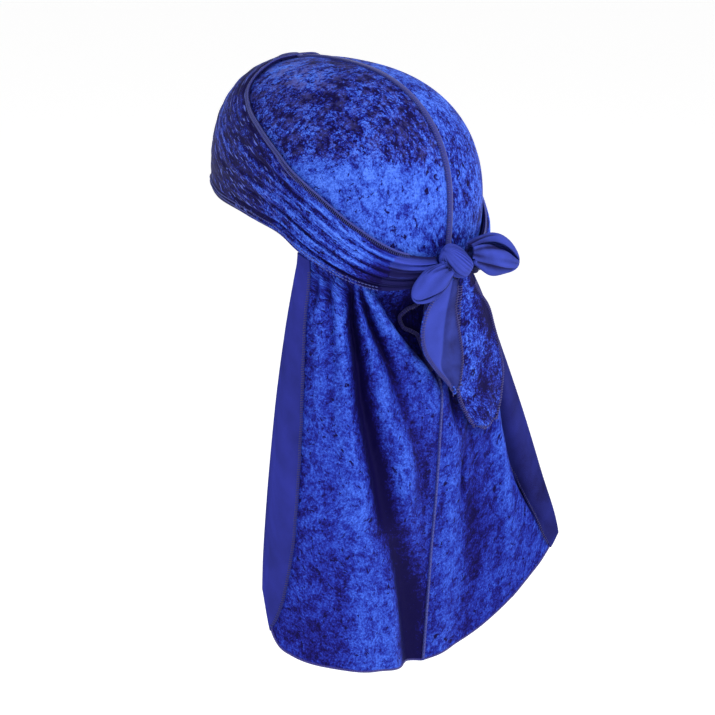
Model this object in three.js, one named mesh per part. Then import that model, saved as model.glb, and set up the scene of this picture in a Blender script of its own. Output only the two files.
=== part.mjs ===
// A durag: a close cloth cap with a long cape, tied in a bow at the nape.
// Millimetres, +Z up. The wearer faces -Y and the wearer's left is +X.
// The origin is the inside of the crown, straight above the middle of the head.
import * as THREE from 'three';

// ---------------------------------------------------------------- driving dimensions
const CLOTH = 1.2; // wall of one layer of velvet
const GAP = 0.3; // clear distance between two pieces that touch
const TUCK = 1.6; // clear height between the band and the panel tucked under it
const HEAD = {
  halfWidth: 62, // at the middle of the head, it grows toward the back
  halfLength: 97,
  halfHeight: 84,
  tilt: 3, // degrees, the back lies lower than the forehead
  fullness: 0.17, // extra width toward the back, as a share of the half width
  power: 2.4, // 2 is an ellipsoid, more is squarer
};
const SEAM = { width: 5, height: 1.4, clear: 0.7 }; // the ridge, and its distance from the cloth
const ROLL = { height: 1.2, width: 1.7, inset: 2 }; // the raised seam on the band's upper edge
const PLEATS = { count: 5, depth: 1.5 };
const CAPE_HALF = 118; // width of half a cape, which turns shares of it into millimetres
const SEAM_BLEND = 0.09; // share of the half cape over which its two halves come level

// ---------------------------------------------------------------- tables
// The centre seam's place over the head, and the outer edge of the panel, row by row.
// over: degrees from the forehead over the top. around: degrees from the forehead round
// the side. rise: degrees above the level of the head's middle.
const CROWN_ROWS = [
  { over: 65, around: 22, rise: 60.5 },
  { over: 71, around: 34, rise: 52 },
  { over: 80, around: 47, rise: 45.5 },
  { over: 92, around: 63, rise: 41 },
  { over: 105, around: 81, rise: 35.5 },
  { over: 118, around: 97, rise: 28.5 },
  { over: 132, around: 108, rise: 20.5 },
  { over: 146, around: 114, rise: 13 },
  { over: 160, around: 116, rise: 5.5 },
  { over: 172, around: 116.5, rise: -1 },
  { over: 184, around: 116.5, rise: -6 },
  { over: 196, around: 116.5, rise: -10 },
];

// The band from the middle of the forehead to the knot: its upper edge, which is sewn to
// the panel, and its lower edge. roll: how thick the gathered cloth is, in millimetres.
const BAND_ROWS = [
  { upAround: 0.2, upRise: 67, lowAround: 0.2, lowRise: -1, roll: 1.5 },
  { upAround: 24, upRise: 63, lowAround: 12, lowRise: -1, roll: 1.5 },
  { upAround: 41, upRise: 50.5, lowAround: 24, lowRise: -1.5, roll: 1.5 },
  { upAround: 57, upRise: 45.5, lowAround: 40, lowRise: -4.5, roll: 1.2 },
  { upAround: 78, upRise: 40, lowAround: 62, lowRise: -6.5, roll: 0.8 },
  { upAround: 98, upRise: 31, lowAround: 84, lowRise: -9, roll: 0.5 },
  { upAround: 113, upRise: 20, lowAround: 104, lowRise: -11.5, roll: 0.3 },
  { upAround: 128, upRise: 9.5, lowAround: 118, lowRise: -17.5, roll: 0.8 },
  { upAround: 142, upRise: -1.5, lowAround: 134, lowRise: -22.5, roll: 1.5 },
  { upAround: 155, upRise: -9.5, lowAround: 149, lowRise: -25.5, roll: 2.5 },
  { upAround: 166, upRise: -12.5, lowAround: 161, lowRise: -24.5, roll: 3.5 },
  { upAround: 176, upRise: -13.5, lowAround: 174.5, lowRise: -21, roll: 4 },
];
const TIE_END = { left: 0.965, right: 1 }; // the share of that way at which each side meets the knot

// Level sections of the cape. drop: depth below the origin. back: the centre seam's distance
// behind the origin. For each side, where its edge is and which way it heads there
// (degrees, 0 points straight out to the side, -90 to the front).
const CAPE_ROWS = [
  { drop: 100, back: 95, leftX: 64.5, leftY: 33, leftTurn: -72, rightX: 64.5, rightY: 33, rightTurn: -72 },
  { drop: 120, back: 91, leftX: 67, leftY: 33, leftTurn: -75, rightX: 65, rightY: 40, rightTurn: -65 },
  { drop: 150, back: 85, leftX: 73, leftY: 32, leftTurn: -80, rightX: 68, rightY: 58, rightTurn: -40 },
  { drop: 190, back: 91, leftX: 81, leftY: 32, leftTurn: -80, rightX: 73, rightY: 75, rightTurn: -15 },
  { drop: 230, back: 90, leftX: 87, leftY: 32, leftTurn: -80, rightX: 82, rightY: 86, rightTurn: 0 },
  { drop: 270, back: 87, leftX: 92, leftY: 32, leftTurn: -78, rightX: 90, rightY: 96, rightTurn: 10 },
  { drop: 310, back: 83, leftX: 95.5, leftY: 32, leftTurn: -75, rightX: 97, rightY: 106, rightTurn: 15 },
  { drop: 382, back: 79, leftX: 99, leftY: 34, leftTurn: -70, rightX: 100, rightY: 112, rightTurn: 20 },
];

// How far below the origin the hem lies, from the centre seam (across 0) to the side edges.
const HEM_ROWS = [
  { across: 0, left: 384, right: 384 },
  { across: 0.3, left: 378, right: 375 },
  { across: 0.6, left: 371, right: 357 },
  { across: 0.85, left: 362, right: 333 },
  { across: 0.95, left: 350, right: 320 },
  { across: 1, left: 320, right: 312 },
];

// Folds of the cape. from, to: the drops between which a fold runs. start, middle, end: its
// place there, as a share of the half cape from the centre seam to the side edge. lift,
// endLift: how far it stands out, or in where negative. fade: the share of its length over
// which it dies away.
const FOLDS = {
  left: [
    { from: 118, to: 400, start: 0.64, middle: 0.34, end: 0, width: 7.5, lift: -7, endLift: -6, fade: 0 },
    { from: 122, to: 215, start: 0.5, middle: 0.24, end: 0, width: 10, lift: 4, endLift: 2, fade: 0.5 },
    { from: 114, to: 190, start: 0.8, middle: 0.7, end: 0.66, width: 7, lift: -3, endLift: -2, fade: 0.5 },
    { from: 118, to: 330, start: 0.72, middle: 0.58, end: 0.45, width: 9, lift: 3, endLift: 4, fade: 0.5 },
    { from: 190, to: 400, start: 0.25, middle: 0.16, end: 0.12, width: 8.5, lift: 4, endLift: 5, fade: 0 },
  ],
  right: [
    { from: 124, to: 250, start: 0.5, middle: 0.32, end: 0.2, width: 8, lift: -4, endLift: -4, fade: 0.4 },
    { from: 150, to: 320, start: 0.84, middle: 0.81, end: 0.86, width: 6, lift: -6, endLift: -4, fade: 0.2 },
    { from: 150, to: 400, start: 0.7, middle: 0.66, end: 0.6, width: 9.5, lift: 3, endLift: 5, fade: 0 },
    { from: 190, to: 400, start: 0.12, middle: 0.1, end: 0.1, width: 9, lift: 3, endLift: 5, fade: 0 },
    { from: 230, to: 400, start: 0.35, middle: 0.34, end: 0.32, width: 9.5, lift: -2, endLift: -5, fade: 0 },
  ],
};
// The hollow under the knot, where the cape is drawn in to the nape.
const NAPE = { from: 120, to: 200, start: 0.5, middle: 0.28, end: 0.02, depth: 6, lip: 0.2 };

// The turned-out side edge of the cape: its width, down the edge.
const SIDE_HEM_ROWS = [
  { drop: 100, width: 7 },
  { drop: 120, width: 12 },
  { drop: 150, width: 16 },
  { drop: 200, width: 20 },
  { drop: 250, width: 20 },
  { drop: 285, width: 15 },
  { drop: 318, width: 5 },
];

const KNOT = {
  centre: [4.5, 108.5, -110.5],
  half: [13, 8.5, 14],
  lean: 28, // degrees, the top leans to the wearer's left
  crease: 0.04,
  clear: 0.85, // what meets the knot ends this far outside its mean form
};

// The loops of the bow, from the knot to the tip: the middle line, half the height and half
// the depth of the cloth tube. slit: direction of its open side in degrees, 90 is straight up.
const LOOP_ROWS = {
  left: [
    { x: 15, y: 108, z: -116, height: 4.5, depth: 3.5, slit: 150 },
    { x: 19, y: 107.5, z: -118.5, height: 7.5, depth: 4.5, slit: 160 },
    { x: 24, y: 106, z: -121, height: 9, depth: 5, slit: 175 },
    { x: 29, y: 104, z: -124, height: 8, depth: 4.5, slit: 190 },
    { x: 33, y: 102.5, z: -126.5, height: 5, depth: 3.5, slit: 200 },
    { x: 35, y: 101.5, z: -128, height: 2.4, depth: 2.2, slit: 205 },
  ],
  right: [
    { x: -10.5, y: 110, z: -107, height: 7, depth: 4.5, slit: 40 },
    { x: -18, y: 110.5, z: -108, height: 10.5, depth: 6, slit: 36 },
    { x: -27, y: 111, z: -109.5, height: 12, depth: 7, slit: 28 },
    { x: -36, y: 110.5, z: -112, height: 11.5, depth: 7, slit: 18 },
    { x: -44, y: 110.5, z: -115.5, height: 8.5, depth: 5.5, slit: 6 },
    { x: -49, y: 110, z: -118.5, height: 4, depth: 3, slit: 0 },
  ],
};
const SLIT = 50; // degrees of a loop's tube that stay open

// The hanging ends: their left edge, crease and right edge, with the distance behind the origin.
const TAIL_ROWS = {
  left: [
    { z: -124, leftX: 10, leftY: 105, creaseX: 4.5, creaseY: 107.5, rightX: -2, rightY: 104.5 },
    { z: -132, leftX: 22.5, leftY: 104.5, creaseX: 6, creaseY: 107, rightX: -2, rightY: 103.5 },
    { z: -142, leftX: 28, leftY: 103.5, creaseX: 7.5, creaseY: 106.5, rightX: -1.5, rightY: 102.5 },
    { z: -154, leftX: 29.5, leftY: 102.5, creaseX: 10.5, creaseY: 105.5, rightX: -5, rightY: 101.5 },
    { z: -166, leftX: 26, leftY: 101.5, creaseX: 12.5, creaseY: 104.5, rightX: -9, rightY: 100.5 },
    { z: -178, leftX: 17.5, leftY: 101.5, creaseX: 12, creaseY: 103.5, rightX: -11.5, rightY: 99.5 },
    { z: -190, leftX: 5, leftY: 100.5, creaseX: 1, creaseY: 101, rightX: -11, rightY: 98.5 },
    { z: -199, leftX: -4, leftY: 98.5, creaseX: -6, creaseY: 98.5, rightX: -9, rightY: 98 },
  ],
  right: [
    { z: -120.5, leftX: -3, leftY: 103, creaseX: -7, creaseY: 105.5, rightX: -11, rightY: 103.5 },
    { z: -134, leftX: -5, leftY: 100.5, creaseX: -14, creaseY: 103, rightX: -24, rightY: 100 },
    { z: -147, leftX: -6, leftY: 99, creaseX: -20, creaseY: 101.5, rightX: -36, rightY: 98 },
    { z: -161, leftX: -7, leftY: 97.5, creaseX: -25, creaseY: 100, rightX: -43, rightY: 96.5 },
    { z: -175, leftX: -8, leftY: 96.5, creaseX: -29, creaseY: 99, rightX: -49, rightY: 95.5 },
    { z: -192, leftX: -9, leftY: 95.5, creaseX: -32, creaseY: 97.5, rightX: -55, rightY: 94 },
    { z: -206, leftX: -13, leftY: 94.5, creaseX: -34, creaseY: 96, rightX: -56, rightY: 92.5 },
    { z: -220, leftX: -22, leftY: 93.5, creaseX: -37, creaseY: 95, rightX: -54.5, rightY: 91.5 },
    { z: -231, leftX: -31, leftY: 92.5, creaseX: -40, creaseY: 93.5, rightX: -49.5, rightY: 91.5 },
  ],
};

// ---------------------------------------------------------------- small helpers
const { degToRad, lerp, smoothstep } = THREE.MathUtils;

function share(index, count) {
  return index / count;
}

// A smooth curve through one column of a table, read at any value of its key column.
function track(rows, key, column) {
  const slopes = rows.map((row, i) => {
    const before = rows[Math.max(i - 1, 0)];
    const after = rows[Math.min(i + 1, rows.length - 1)];
    return (after[column] - before[column]) / (after[key] - before[key]);
  });
  return (at) => {
    const clamped = Math.min(Math.max(at, rows[0][key]), rows[rows.length - 1][key]);
    let i = 0;
    while (i < rows.length - 2 && clamped > rows[i + 1][key]) i += 1;
    const span = rows[i + 1][key] - rows[i][key];
    const t = (clamped - rows[i][key]) / span;
    const rise = t * t * (3 - 2 * t);
    const bends = t * (1 - t) * span * ((1 - t) * slopes[i] - t * slopes[i + 1]);
    return lerp(rows[i][column], rows[i + 1][column], rise) + bends;
  };
}

// Every column of a table as a track over the row number, stretched to run from 0 to 1.
function tracksByShare(rows) {
  const numbered = rows.map((row, i) => ({ ...row, at: share(i, rows.length - 1) }));
  const columns = Object.keys(rows[0]);
  return Object.fromEntries(columns.map((name) => [name, track(numbered, 'at', name)]));
}

function bell(distance, width) {
  return Math.exp(-((distance / width) ** 2));
}

// A closed cloth wall from two grids of points, its outer face and its inner face.
function clothWall(outer, inner) {
  const rows = outer.length;
  const columns = outer[0].length;
  const points = [...outer.flat(), ...inner.flat()];
  const faces = [];
  const front = (i, j) => i * columns + j;
  const back = (i, j) => (rows + i) * columns + j;
  const quad = (a, b, c, d) => faces.push(a, b, c, a, c, d);
  for (let i = 0; i < rows - 1; i += 1) {
    for (let j = 0; j < columns - 1; j += 1) {
      quad(front(i, j), front(i + 1, j), front(i + 1, j + 1), front(i, j + 1));
      quad(back(i, j), back(i, j + 1), back(i + 1, j + 1), back(i + 1, j));
    }
    quad(front(i, 0), back(i, 0), back(i + 1, 0), front(i + 1, 0));
    const last = columns - 1;
    quad(front(i + 1, last), back(i + 1, last), back(i, last), front(i, last));
  }
  for (let j = 0; j < columns - 1; j += 1) {
    quad(front(0, j + 1), back(0, j + 1), back(0, j), front(0, j));
    const last = rows - 1;
    quad(front(last, j), back(last, j), back(last, j + 1), front(last, j + 1));
  }
  return solidGeometry(points, faces);
}

// A closed body from rings of points, with a point at each end.
function ringBody(rings, firstEnd, lastEnd) {
  const around = rings[0].length;
  const points = [...rings.flat(), firstEnd, lastEnd];
  const faces = [];
  const startPoint = rings.length * around;
  const endPoint = startPoint + 1;
  const at = (i, j) => i * around + (j % around);
  for (let j = 0; j < around; j += 1) {
    faces.push(startPoint, at(0, j + 1), at(0, j));
    faces.push(endPoint, at(rings.length - 1, j), at(rings.length - 1, j + 1));
  }
  for (let i = 0; i < rings.length - 1; i += 1) {
    for (let j = 0; j < around; j += 1) {
      faces.push(at(i, j), at(i, j + 1), at(i + 1, j + 1));
      faces.push(at(i, j), at(i + 1, j + 1), at(i + 1, j));
    }
  }
  return solidGeometry(points, faces);
}

// An indexed geometry whose faces point outward.
function solidGeometry(points, faces) {
  let volume = 0;
  for (let i = 0; i < faces.length; i += 3) {
    const [a, b, c] = [points[faces[i]], points[faces[i + 1]], points[faces[i + 2]]];
    volume += a.dot(b.clone().cross(c));
  }
  const index = volume > 0 ? faces : [...faces].reverse();
  const geometry = new THREE.BufferGeometry().setFromPoints(points);
  geometry.setIndex(index);
  geometry.computeVertexNormals();
  return geometry;
}

// A grid of points: pointAt gives the one at a row and a column, both counted from 0.
function gridOf(rows, columns, pointAt) {
  return Array.from({ length: rows + 1 }, (_, i) =>
    Array.from({ length: columns + 1 }, (__, j) => pointAt(i, j)));
}

// ---------------------------------------------------------------- the head that it is worn on
function headRadius(direction) {
  const tilt = degToRad(HEAD.tilt);
  const along = direction.y * Math.cos(tilt) - direction.z * Math.sin(tilt);
  const up = direction.y * Math.sin(tilt) + direction.z * Math.cos(tilt);
  const halfWidth = HEAD.halfWidth * (1 + HEAD.fullness * along);
  const sum = Math.abs(direction.x / halfWidth) ** HEAD.power
    + Math.abs(along / HEAD.halfLength) ** HEAD.power
    + Math.abs(up / HEAD.halfHeight) ** HEAD.power;
  return sum ** (-1 / HEAD.power);
}

const HEAD_CENTRE = new THREE.Vector3(0, 0, -headRadius(new THREE.Vector3(0, 0, 1)));

function headPoint(direction, lift) {
  return HEAD_CENTRE.clone().addScaledVector(direction, headRadius(direction) + lift);
}

// Directions from the middle of the head, in degrees. side is 1 for left and -1 for right.
function directionAt(side, around, rise) {
  const level = Math.cos(degToRad(rise));
  const turn = degToRad(around);
  return new THREE.Vector3(side * level * Math.sin(turn), -level * Math.cos(turn), Math.sin(degToRad(rise)));
}

function directionOver(over) {
  return new THREE.Vector3(0, -Math.cos(degToRad(over)), Math.sin(degToRad(over)));
}

// The direction a share of the way from one to another, along the shortest arc.
function between(from, to, amount) {
  const angle = from.angleTo(to);
  const first = Math.sin((1 - amount) * angle) / Math.sin(angle);
  const second = Math.sin(amount * angle) / Math.sin(angle);
  return from.clone().multiplyScalar(first).addScaledVector(to, second);
}

// ---------------------------------------------------------------- the knot's form
const KNOT_CENTRE = new THREE.Vector3(...KNOT.centre);
const KNOT_LEAN = new THREE.Quaternion().setFromAxisAngle(new THREE.Vector3(0, 1, 0), degToRad(KNOT.lean));

// A point on the knot, up from 0 to 1 over it and turn about its leaning axis.
function knotPoint(up, turn) {
  const level = Math.sin(Math.PI * up) * (1 + KNOT.crease * Math.cos(6 * turn + 4 * up));
  const local = new THREE.Vector3(
    KNOT.half[0] * level * Math.cos(turn),
    KNOT.half[1] * level * Math.sin(turn),
    KNOT.half[2] * Math.cos(Math.PI * up),
  );
  return local.applyQuaternion(KNOT_LEAN).add(KNOT_CENTRE);
}

// Cloth that meets the knot ends on its surface: a point inside is moved straight out.
function outsideKnot(point) {
  const local = point.clone().sub(KNOT_CENTRE).applyQuaternion(KNOT_LEAN.clone().invert());
  const size = new THREE.Vector3(...KNOT.half).addScalar(KNOT.clear);
  const depth = local.clone().divide(size).length();
  if (depth >= 1) return point;
  return local.divideScalar(depth).applyQuaternion(KNOT_LEAN).add(KNOT_CENTRE);
}

// ---------------------------------------------------------------- crown and cape panels
const crown = tracksByShare(CROWN_ROWS);
const capeColumns = Object.keys(CAPE_ROWS[0]);
const cape = Object.fromEntries(capeColumns.map((name) => [name, track(CAPE_ROWS, 'drop', name)]));

function crownPoint(side, along, across, lift) {
  const seam = directionOver(crown.over(along));
  const edge = directionAt(side, crown.around(along), crown.rise(along));
  return headPoint(between(seam, edge, across), lift);
}

// A fold's place between its start, middle and end, as one parabola.
function foldPlace(fold, at) {
  const bulge = fold.middle - (fold.start + fold.end) / 2;
  return lerp(fold.start, fold.end, at) + 4 * bulge * at * (1 - at);
}

function foldLift(side, across, drop) {
  const folds = side > 0 ? FOLDS.left : FOLDS.right;
  let lift = 0;
  for (const fold of folds) {
    const at = (drop - fold.from) / (fold.to - fold.from);
    if (at <= 0 || at >= 1) continue;
    const distance = (across - foldPlace(fold, at)) * CAPE_HALF;
    const strength = smoothstep(at, 0, 0.15) * (1 - smoothstep(at, 1 - fold.fade, 1.001));
    lift += lerp(fold.lift, fold.endLift, at) * strength * bell(distance, fold.width);
  }
  const at = (drop - NAPE.from) / (NAPE.to - NAPE.from);
  if (at > 0 && at < 1) {
    const inside = smoothstep(foldPlace(NAPE, at) - across, 0, NAPE.lip);
    lift -= NAPE.depth * inside * smoothstep(at, 0, 0.2) * (1 - smoothstep(at, 0.7, 1));
  }
  return lift;
}

// Both panels stand out equally far at the centre seam.
function clothLift(side, across, drop) {
  const difference = foldLift(-side, 0, drop) - foldLift(side, 0, drop);
  const nearSeam = Math.max(1 - across / SEAM_BLEND, 0) ** 2;
  return foldLift(side, across, drop) + 0.5 * difference * nearSeam;
}

const hem = {
  left: track(HEM_ROWS, 'across', 'left'),
  right: track(HEM_ROWS, 'across', 'right'),
};

function hemDrop(side, across) {
  return side > 0 ? hem.left(across) : hem.right(across);
}

function topDrop(across) {
  return lerp(122, 100, across);
}

// A point of the cape at a share across from the seam to the side edge and at a drop.
function capePoint(side, across, drop, lift) {
  const name = side > 0 ? 'left' : 'right';
  const back = cape.back(drop);
  const edge = new THREE.Vector2(cape[`${name}X`](drop), cape[`${name}Y`](drop));
  const turn = degToRad(cape[`${name}Turn`](drop));
  const reach = 0.42 * Math.hypot(edge.x, edge.y - back);
  const section = new THREE.CubicBezierCurve(
    new THREE.Vector2(0, back),
    new THREE.Vector2(0.5 * edge.x, back),
    new THREE.Vector2(edge.x - reach * Math.cos(turn), edge.y - reach * Math.sin(turn)),
    edge,
  );
  const place = section.getPoint(across);
  const ahead = section.getTangent(across);
  const stand = clothLift(side, across, drop) + lift;
  const x = place.x - ahead.y * stand;
  const y = place.y + ahead.x * stand;
  return new THREE.Vector3(side * x, y, -drop);
}

// The cape lies on the head until it comes out from under the band.
function emergingPoint(side, across, drop, lift) {
  const free = capePoint(side, across, drop, lift);
  const direction = free.clone().sub(HEAD_CENTRE).normalize();
  const start = lerp(130, 105, across ** 1.5);
  return headPoint(direction, lift).lerp(free, smoothstep(drop, start, start + 20));
}

const CROWN_STEPS = CROWN_ROWS.length - 1;
const CAPE_STEPS = 20;
const PANEL_COLUMNS = 16;
const LEAD_COLUMN = 7; // this column of the grid follows the lead fold
const HEM_COLUMN = 14; // and this one the inner side of the turned-out edge
const sideHemWidth = track(SIDE_HEM_ROWS, 'drop', 'width');

// The columns of the cape's grid lean with its folds, on the left with the first of them.
function columnShare(side, column, down) {
  const fold = FOLDS.left[0];
  const alongFold = Math.max((lerp(116, 378, down) - fold.from) / (fold.to - fold.from), 0);
  const lead = side > 0 ? Math.max(foldPlace(fold, alongFold), 0.1) : lerp(0.5, 0.45, down);
  const sideDrop = lerp(topDrop(1), hemDrop(side, 1), down);
  const turned = 1 - sideHemWidth(sideDrop) / CAPE_HALF;
  if (column <= LEAD_COLUMN) return lead * share(column, LEAD_COLUMN);
  if (column >= HEM_COLUMN) {
    return lerp(turned, 1, share(column - HEM_COLUMN, PANEL_COLUMNS - HEM_COLUMN));
  }
  return lerp(lead, turned, share(column - LEAD_COLUMN, HEM_COLUMN - LEAD_COLUMN));
}

// A point of the panel's grid. The first rows are the crown, the others the cape.
function panelPoint(side, row, column, lift) {
  const clear = new THREE.Vector3(side * GAP * 0.5, 0, 0);
  if (row <= CROWN_STEPS) {
    const leaning = smoothstep(row, 5, CROWN_STEPS);
    const across = lerp(share(column, PANEL_COLUMNS), columnShare(side, column, 0), leaning);
    return crownPoint(side, share(row, CROWN_STEPS), across, lift).add(clear);
  }
  const down = share(row - CROWN_STEPS - 1, CAPE_STEPS) ** 1.25;
  const across = columnShare(side, column, down);
  const drop = lerp(topDrop(across), hemDrop(side, across), down);
  return emergingPoint(side, across, drop, lift).add(clear);
}

const PANEL_ROWS = CROWN_STEPS + 1 + CAPE_STEPS;

function panelGeometry(side) {
  const face = (lift) => gridOf(PANEL_ROWS, PANEL_COLUMNS, (row, column) =>
    panelPoint(side, row, column, lift));
  return clothWall(face(CLOTH), face(0));
}

// The turned-out side edge lies on the last columns of the cape.
function sideHemGeometry(side) {
  const top = CROWN_STEPS + 3;
  const face = (lift) => gridOf(PANEL_ROWS - top, PANEL_COLUMNS - HEM_COLUMN, (row, column) =>
    panelPoint(side, top + row, HEM_COLUMN + column, lift));
  return clothWall(face(2 * CLOTH + GAP), face(CLOTH + GAP));
}

// ---------------------------------------------------------------- front band and tie
const band = tracksByShare(BAND_ROWS);
const BAND_STEPS = 17;
const BAND_COLUMNS = 12;

function bandDirection(side, along, across) {
  const upper = directionAt(side, band.upAround(along), band.upRise(along));
  const lower = directionAt(side, band.lowAround(along), band.lowRise(along));
  return between(upper, lower, across);
}

// The band lies on the panel, and rises toward the knot.
function bandInnerLift(along) {
  return CLOTH + TUCK + 2.5 * smoothstep(along, 0.78, 0.97);
}

function bandOuterLift(side, along, across) {
  const top = headPoint(bandDirection(side, along, 0), 0);
  const low = headPoint(bandDirection(side, along, 1), 0);
  const fromTop = across * top.distanceTo(low);
  const ridge = ROLL.height * bell(fromTop - ROLL.inset, ROLL.width);
  const wave = 0.5 - 0.5 * Math.cos(2 * Math.PI * PLEATS.count * across);
  const pleat = PLEATS.depth * wave * smoothstep(along, 0.2, 0.5);
  const roll = band.roll(along) * Math.sin(Math.PI * across ** 0.7);
  return bandInnerLift(along) + CLOTH + ridge + pleat + roll;
}

// A point of the band's outer face at a step along it and a column across it.
function bandOuterPoint(side, step, column, lift) {
  const along = share(step, BAND_STEPS) * (side > 0 ? TIE_END.left : TIE_END.right);
  const across = share(column, BAND_COLUMNS);
  const height = bandOuterLift(side, along, across) + lift;
  return outsideKnot(headPoint(bandDirection(side, along, across), height));
}

function bandInnerPoint(side, step, column) {
  const along = share(step, BAND_STEPS) * (side > 0 ? TIE_END.left : TIE_END.right);
  const direction = bandDirection(side, along, share(column, BAND_COLUMNS));
  return outsideKnot(headPoint(direction, bandInnerLift(along)));
}

function bandGeometry(side) {
  const outer = gridOf(BAND_STEPS, BAND_COLUMNS, (step, column) =>
    bandOuterPoint(side, step, column, 0));
  const inner = gridOf(BAND_STEPS, BAND_COLUMNS, (step, column) =>
    bandInnerPoint(side, step, column));
  return clothWall(outer, inner);
}

// ---------------------------------------------------------------- centre seam
// Half of the ridge's section, from its flank to its top, as shares of its width and height.
const SEAM_SECTION = [
  { across: 0.5, height: 0 },
  { across: 0.42, height: 0.6 },
  { across: 0.15, height: 1 },
];

// The cloth under the ridge, station by station: over the two bands, then down the panels.
// Each station gives the point on one side, at the middle or one column out.
function seamStations() {
  const stations = [];
  for (let column = BAND_COLUMNS; column >= 0; column -= 1) {
    stations.push((side, step) => bandOuterPoint(side, step, column, SEAM.clear));
  }
  for (let row = 1; row <= PANEL_ROWS; row += 1) {
    stations.push((side, column) => panelPoint(side, row, column, CLOTH + SEAM.clear));
  }
  return stations;
}

// The ridge stands out from the middle of the head, and below the knot straight back.
function seamRing(station) {
  const middle = station(1, 0).setX(0);
  const outward = middle.y < 0 || middle.z > KNOT_CENTRE.z
    ? middle.clone().sub(HEAD_CENTRE).normalize()
    : new THREE.Vector3(0, 1, 0);
  const flank = (side) => {
    const root = station(side, 0).setX(0);
    const reach = station(side, 1).sub(root).setLength(SEAM.width);
    return SEAM_SECTION.map((point) => root.clone()
      .addScaledVector(reach, point.across)
      .addScaledVector(outward, point.height * SEAM.height));
  };
  return [middle, ...flank(1), ...flank(-1).reverse()];
}

function seamGeometry() {
  const rings = seamStations().map(seamRing);
  const core = (ring) => ring[0].clone().lerp(ring[3], 0.5).setX(0);
  return ringBody(rings, core(rings[0]), core(rings[rings.length - 1]));
}

// ---------------------------------------------------------------- bow
function knotGeometry() {
  const steps = 10;
  const around = 20;
  const rings = Array.from({ length: steps - 1 }, (_, i) =>
    Array.from({ length: around }, (__, j) => {
      const turn = 2 * Math.PI * share(j, around);
      return knotPoint(share(i + 1, steps), turn);
    }));
  return ringBody(rings, knotPoint(0, 0), knotPoint(1, 0));
}

// A loop is one strap bent into a flat tube that is open along its slit.
function loopGeometry(side) {
  const rows = tracksByShare(side > 0 ? LOOP_ROWS.left : LOOP_ROWS.right);
  const steps = 10;
  const columns = 11;
  const face = (wall) => gridOf(steps, columns, (step, column) => {
    const along = share(step, steps);
    const turn = degToRad(rows.slit(along) + lerp(SLIT / 2, 360 - SLIT / 2, share(column, columns)));
    const depth = Math.max(rows.depth(along) - wall, 0.3);
    const height = Math.max(rows.height(along) - wall, 0.3);
    return outsideKnot(new THREE.Vector3(
      rows.x(along),
      rows.y(along) + depth * Math.cos(turn),
      rows.z(along) + height * Math.sin(turn),
    ));
  });
  return clothWall(face(0), face(CLOTH));
}

function tailGeometry(side) {
  const table = side > 0 ? TAIL_ROWS.left : TAIL_ROWS.right;
  const rows = tracksByShare(table);
  const steps = 14;
  const columns = 6;
  const face = (lift) => gridOf(steps, columns, (step, column) => {
    const along = share(step, steps);
    const across = share(column, columns);
    const name = across < 0.5 ? 'left' : 'right';
    const from = new THREE.Vector2(rows.creaseX(along), rows.creaseY(along));
    const to = new THREE.Vector2(rows[`${name}X`](along), rows[`${name}Y`](along));
    const place = from.lerp(to, Math.abs(2 * across - 1));
    return outsideKnot(new THREE.Vector3(place.x, place.y + lift, rows.z(along)));
  });
  return clothWall(face(CLOTH), face(0));
}

// ---------------------------------------------------------------- assembly
const velvet = { color: 0x2337c4, roughness: 0.62, metalness: 0 };
const reverse = { color: 0x2b39b4, roughness: 0.8, metalness: 0 };
const thread = { color: 0x3a3fb8, roughness: 0.7, metalness: 0 };

const group = new THREE.Group();

function addPiece(name, geometry, finish) {
  const mesh = new THREE.Mesh(geometry, new THREE.MeshStandardMaterial(finish));
  mesh.name = name;
  group.add(mesh);
}

for (const [name, side] of [['left', 1], ['right', -1]]) {
  addPiece(`panel_${name}`, panelGeometry(side), velvet);
  addPiece(`band_${name}`, bandGeometry(side), velvet);
  addPiece(`side_hem_${name}`, sideHemGeometry(side), reverse);
  addPiece(`bow_loop_${name}`, loopGeometry(side), reverse);
}
addPiece('tail_left', tailGeometry(1), reverse);
addPiece('tail_right', tailGeometry(-1), velvet);
addPiece('center_seam', seamGeometry(), thread);
addPiece('bow_knot', knotGeometry(), reverse);

export default group;
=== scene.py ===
import bmesh
import bpy
import numpy as np
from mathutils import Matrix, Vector


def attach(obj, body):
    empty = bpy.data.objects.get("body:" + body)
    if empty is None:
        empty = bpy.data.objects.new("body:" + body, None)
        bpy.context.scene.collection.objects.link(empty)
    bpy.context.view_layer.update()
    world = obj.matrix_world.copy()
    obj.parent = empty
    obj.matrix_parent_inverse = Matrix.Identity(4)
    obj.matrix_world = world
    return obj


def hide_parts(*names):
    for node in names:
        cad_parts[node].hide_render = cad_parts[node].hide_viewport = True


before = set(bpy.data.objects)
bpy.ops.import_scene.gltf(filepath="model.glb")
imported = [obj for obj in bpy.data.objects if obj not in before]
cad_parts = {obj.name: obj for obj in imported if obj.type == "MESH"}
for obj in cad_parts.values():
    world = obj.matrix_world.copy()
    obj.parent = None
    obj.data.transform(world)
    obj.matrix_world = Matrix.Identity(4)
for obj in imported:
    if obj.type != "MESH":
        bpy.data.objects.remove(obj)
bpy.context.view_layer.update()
MM = 0.001

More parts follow.
